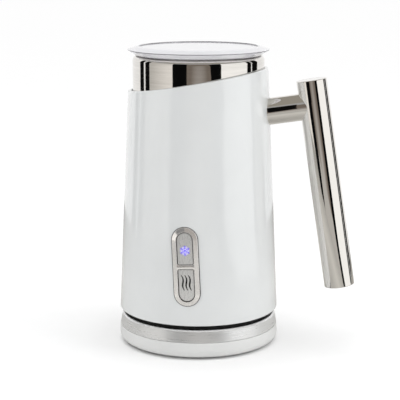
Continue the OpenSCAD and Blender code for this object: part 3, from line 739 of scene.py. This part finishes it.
def prism(name, outline, low, high, matrix):
    rings = [[matrix @ Vector((x, y, z)) for x, y in outline] for z in (low, high)]
    vertices, faces = loft(rings, closed=False, capped=True)
    return new_object(name, vertices, faces, None, [white], sharp=32)


def stadium_outline(half_w, end, steps=32):
    return arc((0, end), half_w, 0, 180, steps) + arc((0, -end), half_w, 180, 360, steps)


def build_cup():
    low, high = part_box("inner_cup")
    collar = high.x
    lip_z = high.z
    lip_round = 4 * MM
    shoulder_z = lip_z - 27.1 * MM
    step_z = shoulder_z - 4 * MM
    wide = 38.6 * MM               # radius under the step
    foot = 37.4 * MM
    wall = 0.9 * MM
    bore = collar - 1.2 * MM
    profile = rounded([
        (0, low.z),
        (foot, low.z, 8 * MM),
        (wide, step_z, 2 * MM),
        (collar, shoulder_z, 2 * MM),
        *arc((collar - lip_round, lip_z - lip_round), lip_round, 0, 60, 8),
        (collar - 2.1 * MM, lip_z, 0.5 * MM),
        (collar - 2.9 * MM, lip_z - 0.6 * MM, 0.5 * MM),
        (bore, lip_z - 3.2 * MM, 2 * MM),
        (bore, shoulder_z + 0.4 * MM, 2 * MM),
        (wide - wall, step_z + 0.2 * MM, 2 * MM),
        (foot - wall, low.z + wall, 7 * MM),
        (0, low.z + wall),
    ], steps=10)
    made = revolve("steel_cup", profile, "jug", [cup_steel, cup_floor_steel], turns=256)
    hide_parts("inner_cup")
    for polygon in made.data.polygons:
        r = math.hypot(polygon.center.x, polygon.center.y)
        if r < foot - 1.5 * MM and polygon.center.z < shoulder_z:
            polygon.material_index = 1

    # two fill lines, raised on the inside of the cup
    for number, share in enumerate((0.33, 0.62)):
        z = low.z + (step_z - low.z) * share
        r = foot - wall + (wide - foot) * share
        path = [Vector((x, y, z)) for x, y in arc((0, 0), r, 115, 165, 16)]
        line = sweep(f"fill_line_{number + 1}", path, 0.3 * MM, "jug", [steel], sides=8)


# ---------- Handle ----------

def build_handle():
    axis = Matrix.Translation(tube_joint) @ tube_up.to_track_quat("Z", "X").to_matrix().to_4x4()
    low, high = points_in("handle_tube", axis)
    wall = 1.05 * MM
    tube = rounded([
        (tube_r - wall, low.z, 0.15 * MM),
        (tube_r, low.z, 0.45 * MM),
        (tube_r, high.z, 0.45 * MM),
        (tube_r - wall, high.z, 0.15 * MM),
    ], steps=5)
    made = revolve("grip_tube", tube, "jug", [steel], turns=160, matrix=axis)
    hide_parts("handle_tube")
    for name, node in (("grip_top_cap", "handle_top_cap"), ("grip_bottom_cap", "handle_bottom_cap")):
        cap_low, cap_high = points_in(node, axis)
        r = tube_r - wall - 0.02 * MM
        cap = rounded([
            (0, cap_low.z),
            (r, cap_low.z, 0.25 * MM),
            (r, cap_high.z, 0.25 * MM),
            (0, cap_high.z),
        ], steps=4)
        made = revolve(name, cap, "jug", [steel], turns=128, matrix=axis)
        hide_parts(node)


def build_stub():
    """The stub, from the shell's cone to the tube's wall."""
    r = radius("handle_stub")
    steps = 128
    at_shell, at_tube = [], []
    for i in range(steps):
        a = 2 * math.pi * i / steps
        start = tube_joint + Vector((0, r * math.cos(a), 0)) + tube_up * r * math.sin(a)
        at_tube.append(start - stub_out * math.sqrt(tube_r ** 2 - (r * math.cos(a)) ** 2))
        reach = 25 * MM            # a first guess of how far the cone is
        for _ in range(20):        # each round closes most of the gap that is left
            p = start - stub_out * reach
            reach += math.hypot(p.x, p.y) - shell_r(p.z)
        at_shell.append(start - stub_out * reach)
    vertices, faces = loft([at_shell, at_tube], closed=False, capped=True)
    faces[:-2] = [tuple(reversed(f)) for f in faces[:-2]]
    made = new_object("grip_stub", vertices, faces, "jug", [steel])
    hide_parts("handle_stub")


# ---------- Button panel ----------

def button_outline(width, start, end, side, corner=1.0 * MM):
    """A flat end near the bar and a round outer end. side is 1 for the upper button."""
    w = width / 2
    centre = end - w
    points = arc((w - corner, start + corner), corner, -90, 0, 6)
    points += arc((0, centre), w, 0, 180, 32)
    points += arc((-w + corner, start + corner), corner, 180, 270, 6)
    return [(x, y * side) for x, y in points]


def stadium_ring(name, section, end, paint):
    """A closed section, points (distance, height), carried round the panel's stadium."""
    rings = []
    steps = 40
    for i, (x, y) in enumerate(stadium_outline(1, 0, steps)):
        shift = end if i <= steps else -end
        rings.append([panel @ Vector((x * u, y * u + shift, z)) for u, z in section])
    vertices, faces = loft(rings)
    return new_object(name, vertices, faces, "jug", [paint], weld=True)


BEZEL_SLOPE = math.radians(17)


def build_bezel(inner, outer, end, top):
    """A ring that slopes down to its outer edge, in a thin black ring that is a painted shadow line round
    the bezel.
    """
    steel_r = outer - 0.3 * MM
    drop = (steel_r - inner) * math.tan(BEZEL_SLOPE)
    section = rounded([
        (inner, BEZEL_FOOT),
        (steel_r, BEZEL_FOOT),
        (steel_r, top - drop, 0.5 * MM),
        (inner, top, 0.3 * MM),
    ], steps=6)
    made = stadium_ring("bezel_ring", section, end, bezel_steel)
    made.data.materials.append(black)   # painted shade: the steel wall that faces the buttons is black, for the dark gap round them
    for polygon in made.data.polygons:
        place = panel.inverted() @ polygon.center
        if math.hypot(place.x, max(0, abs(place.y) - end)) < inner + 0.08 * MM:
            polygon.material_index = 1
    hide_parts("panel_bezel")
    # painted shadow: a thin black ring round the bezel stands in for the shadow line at its edge
    shadow_line_in = steel_r - 0.2 * MM
    shadow_line_top = -0.05 * MM
    section = rounded([
        (shadow_line_in, BEZEL_FOOT),
        (outer, BEZEL_FOOT),
        (outer, shadow_line_top, 0.1 * MM),
        (shadow_line_in, shadow_line_top),
    ], steps=3)
    made = stadium_ring("bezel_shadow_line", section, end, black_rubber)


def build_bar(inner, half, top):
    """The crowned bar between the buttons, which flares into the bezel at both ends."""
    flare = 1.3 * MM
    reach = inner + 0.25 * MM
    crown = 0.45 * MM
    rings = []
    steps = 28
    for i in range(steps + 1):
        x = -reach + 2 * reach * i / steps
        into = min(max(abs(x) - (inner - flare), 0), flare)
        h = half + flare - math.sqrt(flare ** 2 - into ** 2)
        section = [(-h, BEZEL_FOOT)]
        for k in range(13):
            t = math.pi * k / 12
            section.append((-h * math.cos(t), top - crown * (1 - math.sin(t))))
        section.append((h, BEZEL_FOOT))
        rings.append([panel @ Vector((x, y, z)) for y, z in section])
    vertices, faces = loft(rings, closed=False, capped=True)
    made = new_object("bezel_bar", vertices, faces, "jug", [bezel_steel], weld=True)
    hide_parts("panel_bezel")


def build_panel():
    """The bezel, its neck and the two keys. Gives the height of the keys' faces."""
    low, high = points_in("panel_bezel", panel)
    end = high.y - high.x
    upper_low, upper_high = points_in("froth_button", panel)
    lower_low, lower_high = points_in("heat_button", panel)
    key_w = upper_high.x - upper_low.x
    keys = (
        ("froth_key", "froth_button", 1, upper_low.y, upper_high.y),
        ("heat_key", "heat_button", -1, -lower_high.y, -lower_low.y),
    )
    inner = key_w / 2 + BUTTON_GAP
    build_bezel(inner, high.x, end, high.z)
    build_bar(inner, upper_low.y - BUTTON_GAP, high.z)
    openings = []
    for _, _, side, a, b in keys:
        openings.append(button_outline(2 * inner, a - BUTTON_GAP, b + BUTTON_GAP, side, 1.3 * MM))
    neck = plate("bezel_neck", [stadium_outline(NECK_R, end)] + openings, low.z, BEZEL_FOOT,
                 0.1 * MM, panel, "jug", [black], steps=1)

    for name, node, side, a, b in keys:
        key = plate(name, [button_outline(key_w, a, b, side)], KEY_FOOT, upper_high.z,
                    0.3 * MM, panel, node, [button_steel], steps=3)
        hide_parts(node)
    return upper_high.z


ICON_SINK = 0.2 * MM               # how far the icons go into their keys
ICON_PROUD = 0.05 * MM


def strip(start, stop, half_start, half_stop):
    """The four corners of a straight stroke, as wide as twice each half at its ends."""
    along = (stop - start).normalized()
    across = Vector((-along.y, along.x))
    return [start + across * half_start, start - across * half_start,
            stop - across * half_stop, stop + across * half_stop]


def build_snowflake(face_z):
    """Six arms with two pairs of branches each, on a lens that the light spreads through."""
    low, high = points_in("froth_icon_lens", panel)
    centre = (low + high) / 2
    reach = (high.y - low.y) / 2
    branch = reach * 0.30
    lean = math.radians(55)
    strokes = [(Vector((0, 0)), Vector((0, reach)), 0.18 * MM)]
    for share in (0.36, 0.66):
        fork = Vector((0, reach * share))
        for s in (-1, 1):
            tip = fork + branch * Vector((s * math.sin(lean), math.cos(lean)))
            strokes.append((fork, tip, 0.15 * MM))
    pieces = []
    for i in range(6):
        turn = Matrix.Rotation(math.radians(60 * i), 4, "Z")
        for start, stop, half in strokes:
            corners = strip(start, stop, half, half)
            pieces.append([turn @ Vector((c.x, c.y, 0)) + centre for c in corners])
    made = bars_object("snow_icon", pieces, face_z, "froth_button", icon_blue)
    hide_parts("froth_icon_lens")
    lens = arc((centre.x, centre.y), HALO_R, 0, 360, 48)[:-1]
    paint = halo(panel @ Vector((centre.x, centre.y, face_z)))
    made = plate("snow_lens", [lens], face_z - ICON_SINK, face_z + 0.02 * MM, 0.01 * MM,
                 panel, "froth_button", [paint], steps=1)
    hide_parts("froth_icon_lens")


def build_steam(face_z):
    """Three wavy wisps that lean to the lower right."""
    low, high = points_in("heat_icon_inlay", panel)
    centre = (low + high) / 2
    tall = (high.y - low.y) / 2 * 0.97
    spacing = 2.28 * MM
    wave = 0.62 * MM
    lean = 0.17
    count = 24
    strips = []
    for lane in (-1, 0, 1):
        points = []
        for k in range(count + 1):
            t = -1 + 2 * k / count
            x = lane * spacing + wave * math.sin(t * math.pi) - lean * tall * t
            points.append(Vector((centre.x + x, centre.y + tall * t)))
        for k in range(count):
            halves = stroke_half(k / count), stroke_half((k + 1) / count)
            strips.append(strip(points[k], points[k + 1], *halves))
    made = bars_object("steam_icon", strips, face_z, "heat_button", icon_dark)
    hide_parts("heat_icon_inlay")


def stroke_half(share):
    """Half the width of a wisp of steam, thin at its ends."""
    return (0.2 + 0.32 * math.sin(math.pi * share)) * MM


def bars_object(name, quads, face_z, body, paint):
    """Quads in the panel's plane, made into bars that stand a little proud of a key's face."""
    vertices, faces = [], []
    for quad in quads:
        first = len(vertices)
        for z in (face_z - ICON_SINK, face_z + ICON_PROUD):
            for c in quad:
                vertices.append(panel @ Vector((c[0], c[1], z)))
        n = len(quad)
        faces.append(tuple(first + n + i for i in range(n)))
        faces.append(tuple(first + i for i in reversed(range(n))))
        for i in range(n):
            m = (i + 1) % n
            faces.append((first + i, first + m, first + n + m, first + n + i))
    return new_object(name, vertices, faces, body, [paint], weld=True)


# ---------- Lid ----------

def build_lid():
    low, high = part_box("lid")
    rim = high.x
    top = high.z
    seat_r = radius("inner_cup") - 1.1 * MM
    seat_z = top - 5.2 * MM
    plug = 41 * MM
    plug_in = 38.8 * MM
    thick = 2.6 * MM
    recess = 0.6 * MM              # the middle lies this far below the bevel's inner edge
    flat = 39.2 * MM
    profile = rounded([
        (0, top - thick - recess),
        (plug_in, top - thick - recess, 1 * MM),
        (plug_in, low.z, 0.6 * MM),
        (plug, low.z, 0.6 * MM),
        (plug, seat_z, 0.4 * MM),
        (seat_r, seat_z, 0.3 * MM),
        (rim, top - 2.45 * MM, 0.12 * MM),
        (rim, top - 1.9 * MM, 0.12 * MM),
        (flat + 1.2 * MM, top, 1.2 * MM),
        (flat, top, 0.15 * MM),
        (flat - 0.05 * MM, top - recess, 0.1 * MM),
        (0, top - recess),
    ], steps=6)
    made = revolve("lid_disc", profile, "lid", [clear, clear_painted_shade], turns=256)
    # the upright edge near the top and the faces at the seat take the painted shade
    for polygon in made.data.polygons:
        x, y, z = polygon.center
        upright = abs(polygon.normal.z) < 0.6 and z > top - 2.5 * MM
        if math.hypot(x, y) > plug_in and (upright or seat_z - 0.1 * MM < z < seat_z + 0.15 * MM):
            polygon.material_index = 1
    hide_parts("lid")
    low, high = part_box("lid_seal")
    ring = rounded([
        (plug - 0.3 * MM, low.z),
        (plug + 0.3 * MM, low.z, 0.3 * MM),
        (high.x, middle("lid_seal").z, 0.5 * MM),
        (plug + 0.3 * MM, high.z, 0.3 * MM),
        (plug - 0.3 * MM, high.z),
    ], steps=6)
    made = revolve("lid_gasket", ring, "lid", [seal])
    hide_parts("lid_seal")


# ---------- Whisk ----------

def build_coil():
    """The froth coil: a wire wound round a ring."""
    low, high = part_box("froth_coil")
    wire = 0.4 * MM
    small = (high.z - low.z) / 2 - wire
    big = high.x - small - wire
    centre_z = middle("froth_coil").z
    turns = 34
    steps = turns * 20             # points of the path, 20 on each turn
    path = []
    for i in range(steps):
        a = 2 * math.pi * i / steps
        b = a * turns
        r = big + small * math.cos(b)
        path.append(Vector((r * math.cos(a), r * math.sin(a), centre_z + small * math.sin(b))))
    made = sweep("coil_spring", path, wire, "whisk", [steel], sides=10, closed=True)
    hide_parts("froth_coil")


build_base()
build_shell()
build_cup()
build_handle()
build_stub()
key_face = build_panel()
build_snowflake(key_face)
build_steam(key_face)
build_lid()
build_coil()


# ---------- Studio ----------

CAMERA_AZIMUTH = 9.1               # degrees to the right of the object's front
CAMERA_PITCH = 11.36
CAMERA_DISTANCE = 0.8798
AIM_SHARE = 0.48                   # height of the point looked at, as a share of the object's
AIM_RIGHT = 0.94 * MM
LENS = 117
LIGHT_AIM = 0.1                    # height of the point that the lamps look at
WORLD_LIGHT = 0.42
CARD_R = 0.67                      # the studio's cards stand this far from the object
CARD_TOP = 0.5
FLOOR_HALF = 40                    # far enough that its edge stays out of every view
# painted light on the floor that the steel sees: (distance from the object, grey), brightest about 0.2 m
# out
FLOOR_SHADES = ((0.1, 0.50), (0.2, 0.60), (0.3, 0.46), (0.42, 0.36), (0.6, 0.30))
FLAG_AHEAD = 0.08                  # the flag's distance from the axis, towards the camera
FLAG_CORNERS = ((0.0170, 0.2045), (0.0285, 0.1500), (0.0487, 0.1560), (0.0405, 0.2025))
BLACK = (0.004, 0.004, 0.004)


def direction(azimuth, elevation):
    """From the object towards a place in the studio. Azimuth 0 is its front, 90 the handle's side."""
    a, e = math.radians(azimuth), math.radians(elevation)
    return Vector((math.sin(a) * math.cos(e), -math.cos(a) * math.cos(e), math.sin(e)))


def look_along(obj, ahead):
    obj.rotation_mode = "QUATERNION"
    obj.rotation_quaternion = ahead.to_track_quat("-Z", "Y")


def make_camera():
    data = bpy.data.cameras.new("camera")
    data.lens = LENS
    data.sensor_width = 36
    data.clip_start = 0.05
    data.clip_end = 20
    camera = add_object("camera", data)
    back = direction(CAMERA_AZIMUTH, CAMERA_PITCH)
    across = direction(CAMERA_AZIMUTH + 90, 0)
    aim = Vector((0, 0, cad_box[1].z * AIM_SHARE)) + across * AIM_RIGHT
    camera.location = aim + back * CAMERA_DISTANCE
    look_along(camera, -back)
    bpy.context.scene.camera = camera


def add_light(kind, name, azimuth, elevation, distance, energy):
    """A lamp that looks at the object, and that the steel doesn't show. The azimuth is from
    the camera's own."""
    data = bpy.data.lights.new(name, kind)
    data.energy = energy
    lamp = add_object(name, data)
    aim = Vector((0, 0, LIGHT_AIM))
    lamp.location = aim + direction(CAMERA_AZIMUTH + azimuth, elevation) * distance
    look_along(lamp, aim - lamp.location)
    lamp.visible_glossy = False
    return data


def only_reflected(obj):
    """Seen in the steel and the gloss, and nowhere else."""
    obj.visible_camera = False
    obj.visible_diffuse = False
    obj.visible_shadow = False
    obj.visible_transmission = False


def card_paint(name, near, far=None, origin=(0, 0, 0), start=0, end=1):
    """A card's light, which runs from one colour to another with distance from origin."""
    paint = Paint(name, (0, 0, 0), roughness=1, Specular_IOR_Level=0, Emission_Strength=1)
    paint.set("Emission Color", (*near, 1))
    if far is not None:
        share = paint.between(paint.distance(origin), 0, 1, start, end)
        paint.put(paint.shader, "Emission Color", paint.mixed(share, near, far))
    return paint.material


def card(name, ends, paint, inner_ends=None, inner_r=0.5, top=CARD_TOP, lift=0.4 * MM, mat=None):
    """A curved studio card that stands round the object, with a mat that comes forward from
    its foot along the floor. Its ends are azimuths from the camera's own."""
    steps = max(2, int(abs(ends[1] - ends[0]) / 3))
    vertices = []
    for i in range(steps + 1):
        share = i / steps
        out = direction(CAMERA_AZIMUTH + ends[0] + (ends[1] - ends[0]) * share, 0) * CARD_R
        vertices += [(out.x, out.y, top), (out.x, out.y, lift)]
        first, last = inner_ends or ends
        near = direction(CAMERA_AZIMUTH + first + (last - first) * share, 0) * inner_r
        vertices.append((near.x, near.y, lift))
    faces = []
    for i in range(steps):
        for k in (3 * i, 3 * i + 1):
            faces.append((k, k + 1, k + 4, k + 3))
    made = new_object(name, vertices, faces, None, [paint, mat or paint], sharp=1)
    for i, polygon in enumerate(made.data.polygons):
        polygon.material_index = i % 2
    only_reflected(made)


def flag():
    """A small dark card close to the object, for the dark line along the handle's stub."""
    side = direction(CAMERA_AZIMUTH + 90, 0)
    ahead = direction(CAMERA_AZIMUTH, 0) * FLAG_AHEAD
    vertices = [ahead + side * across + Z * z for across, z in FLAG_CORNERS]
    only_reflected(new_object("flag", vertices, [(0, 1, 2, 3)], None, [card_paint("flag", BLACK)]))


def plane(name, half, z, paint):
    corners = [(-half, -half, z), (half, -half, z), (half, half, z), (-half, half, z)]
    return new_object(name, corners, [(0, 1, 2, 3)], None, [paint])


def make_floor():
    """A wide pale floor with a faint mottle. The steel sees a duller one, whose brightness changes with
    the distance from the object: painted light, brightest about 0.2 m out, with painted shade nearer to
    the object and farther out."""
    paint = Paint("floor", (0.97, 0.97, 0.97), roughness=0.6, Specular_IOR_Level=0)
    mottle = paint.noise(paint.place(), scale=60)
    paint.vary(mottle, (0.965, 0.965, 0.965), (0.975, 0.975, 0.975))
    floor = plane("floor", FLOOR_HALF, 0, paint.material)
    floor.visible_glossy = False

    paint = Paint("floor_in_steel", (0.5, 0.5, 0.5), roughness=0.6, Specular_IOR_Level=0)
    ramp = paint.node("ValToRGB", Fac=paint.distance())
    stops = ramp.color_ramp.elements
    stops[0].position = FLOOR_SHADES[0][0]
    stops[1].position = FLOOR_SHADES[-1][0]
    for distance, _ in FLOOR_SHADES[1:-1]:
        stops.new(distance)
    for stop, (_, grey) in zip(stops, FLOOR_SHADES):
        stop.color = (grey, grey * 0.98, grey * 0.93, 1)
    paint.put(paint.shader, "Base Color", ramp.outputs["Color"])
    only_reflected(plane("floor_in_steel", FLOOR_HALF, 0.15 * MM, paint.material))


def make_world():
    world = bpy.data.worlds.new("studio")
    bpy.context.scene.world = world
    world.use_nodes = True
    background = world.node_tree.nodes["Background"]
    background.inputs["Color"].default_value = (1, 1, 1, 1)
    background.inputs["Strength"].default_value = WORLD_LIGHT


def make_cards():
    """The cards and lines between them whose reflections stripe the polished steel."""
    front_foot = direction(CAMERA_AZIMUTH + 1, 0) * CARD_R
    left_end = direction(CAMERA_AZIMUTH - 44, 0) * CARD_R
    dark = card_paint("dark_card", BLACK)
    front = card_paint("front_card", (0.58, 0.555, 0.53), (0.20, 0.17, 0.145), front_foot, 0, 0.2)
    front_mat = card_paint("front_mat", (0.54, 0.525, 0.50))
    left = card_paint("left_card", (0.98, 0.95, 0.91), (0.60, 0.58, 0.55), left_end, 0.05, 0.5)
    right = card_paint("right_card", (1.14, 1.14, 1.13))
    pale = card_paint("rear_card", (1, 1, 1))
    card("front_card", (-20, 22), front, (-18, 42), 0.35, lift=0.3 * MM, mat=front_mat)
    card("dark_left", (-44, -19), dark, (-30, -16), 0.36, lift=0.5 * MM)
    card("dark_right", (22, 38), dark, (40, 56), 0.34, lift=0.5 * MM)
    card("left_card", (-91, -44), left, (-91, -30), 0.5, lift=0.3 * MM)
    card("right_card", (38, 90), right, (56, 90), 0.3, lift=0.3 * MM)
    card("dark_side_left", (-102, -91), dark)
    card("line_left", (-106, -102), pale)
    card("dark_rear_left", (-118, -106), dark)
    card("dark_side_right", (90, 100), dark)
    card("line_right", (100, 102.6), pale)
    card("dark_rear_right", (102.6, 119), dark)
    card("rear_card", (119, 242), pale, top=0.75)
    only_reflected(plane("ceiling", 0.9, 1.0, card_paint("ceiling", (0.34, 0.32, 0.28))))


def make_lights():
    """A soft light from overhead, a weaker one from the right, and low ones for the base."""
    add_light("SUN", "overhead", 0, 89.9, 2, 1.88).angle = math.radians(70)
    add_light("AREA", "right", 70, 30, 1.2, 2.6).size = 0.8
    for name, azimuth, power in (("low_left", -75, 2.4), ("low_front", -20, 0.3), ("low_right", 66, 2.0)):
        add_light("AREA", name, azimuth, 2, 1.2, power).size = 0.4


make_camera()
make_floor()
make_world()
make_cards()
flag()
make_lights()
bpy.context.scene.view_settings.view_transform = "Standard"
